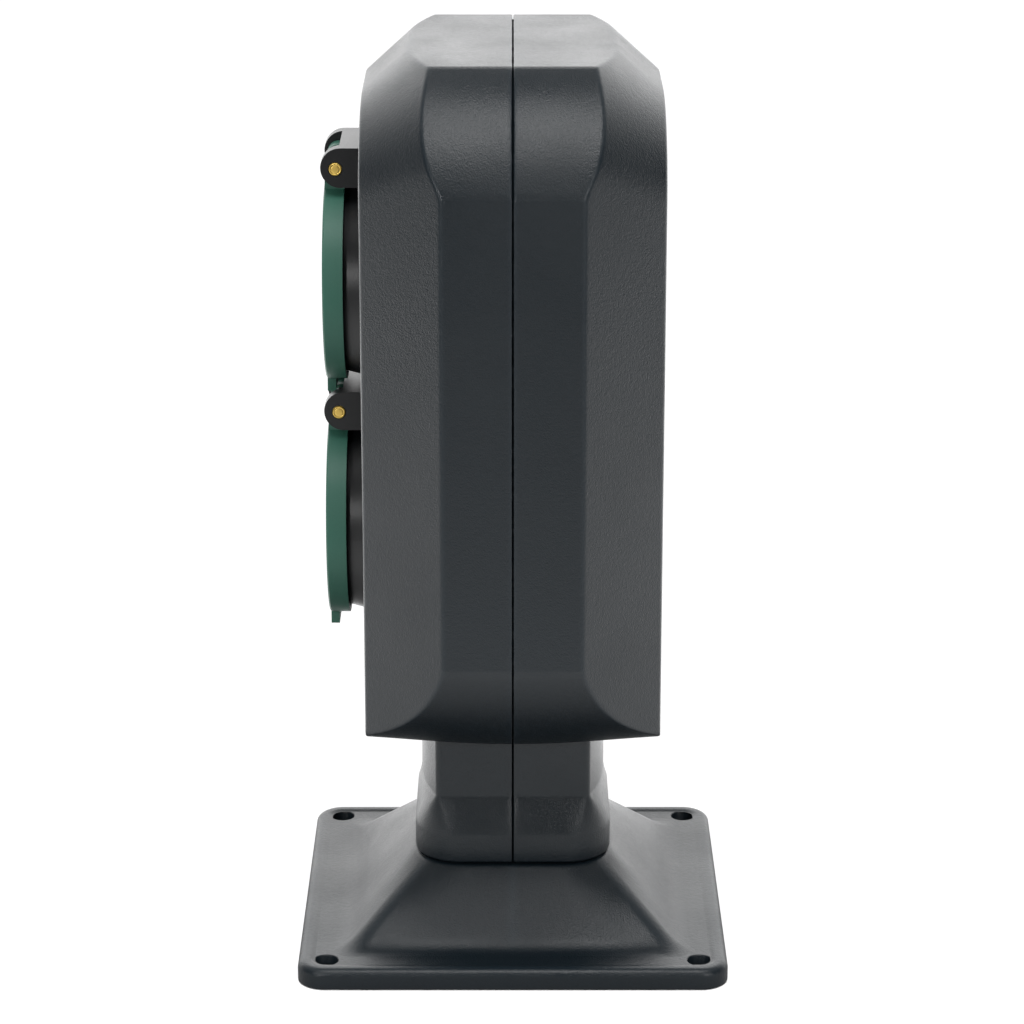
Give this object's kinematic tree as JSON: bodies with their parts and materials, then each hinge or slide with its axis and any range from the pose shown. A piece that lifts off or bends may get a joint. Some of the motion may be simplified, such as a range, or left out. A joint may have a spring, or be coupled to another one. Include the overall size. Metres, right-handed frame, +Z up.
{
  "type": "garden socket pillar",
  "caption": "Garden power pillar: two-part housing on a square foot, with a column of earthed outlets under sprung hinged lids.",
  "frame": {"origin": "centre of the foot plate's underside, on the ground", "axes": "+Z up along the pillar, -Y towards the outlets, X from side to side"},
  "size_m": [0.134, 0.121, 0.257],
  "materials": {
    "shell_plastic": "fine spark-eroded grain, satin",
    "socket_plastic": "smooth satin",
    "lid_plastic": "smooth satin",
    "insert_plastic": "smooth matt",
    "block_plastic": "smooth",
    "rubber": "matt",
    "brass": "bright drawn",
    "screw_steel": "zinc plated",
    "spring_steel": "bright drawn",
    "wire_live": "smooth",
    "wire_neutral": "smooth",
    "wire_earth": "smooth"
  },
  "bodies": {
    "housing": {"foot_plate": "shell_plastic", "cable_grommet": "rubber", "foot_screws": "screw_steel", "front_shell": "shell_plastic", "rear_shell": "shell_plastic", "seam_seal": "rubber", "shell_screws": "screw_steel", "terminal_block": "block_plastic", "terminal_block_screws": "screw_steel", "live_wire": "wire_live", "neutral_wire": "wire_neutral", "earth_wire": "wire_earth", "upper_socket_frame": "socket_plastic", "upper_flange_gasket": "rubber", "upper_flange_screws": "screw_steel", "upper_socket_cup": "insert_plastic", "upper_earth_bow": "brass", "upper_live_contact": "brass", "upper_neutral_contact": "brass", "upper_terminal_screws": "screw_steel", "upper_back_cover": "insert_plastic", "upper_centre_screw": "screw_steel", "upper_hinge_pin": "brass", "upper_lid_spring": "spring_steel", "lower_socket_frame": "socket_plastic", "lower_flange_gasket": "rubber", "lower_flange_screws": "screw_steel", "lower_socket_cup": "insert_plastic", "lower_earth_bow": "brass", "lower_live_contact": "brass", "lower_neutral_contact": "brass", "lower_terminal_screws": "screw_steel", "lower_back_cover": "insert_plastic", "lower_centre_screw": "screw_steel", "lower_hinge_pin": "brass", "lower_lid_spring": "spring_steel"},
    "upper_flap": {"upper_lid": "lid_plastic", "upper_lid_seal": "rubber"},
    "lower_flap": {"lower_lid": "lid_plastic", "lower_lid_seal": "rubber"}
  },
  "joints": [
    {"name": "upper_lid_hinge", "type": "hinge", "parent": "housing", "child": "upper_flap", "pos_m": [0, -0.0485, 0.2238], "axis": [-1, 0, 0], "range_deg": [0, 95], "stiffness_Nm_per_rad": 0.02, "springref_deg": -45.84, "deforming": ["upper_lid_spring"]},
    {"name": "lower_lid_hinge", "type": "hinge", "parent": "housing", "child": "lower_flap", "pos_m": [0, -0.0485, 0.1548], "axis": [-1, 0, 0], "range_deg": [0, 95], "stiffness_Nm_per_rad": 0.02, "springref_deg": -45.84, "deforming": ["lower_lid_spring"]}
  ]
}
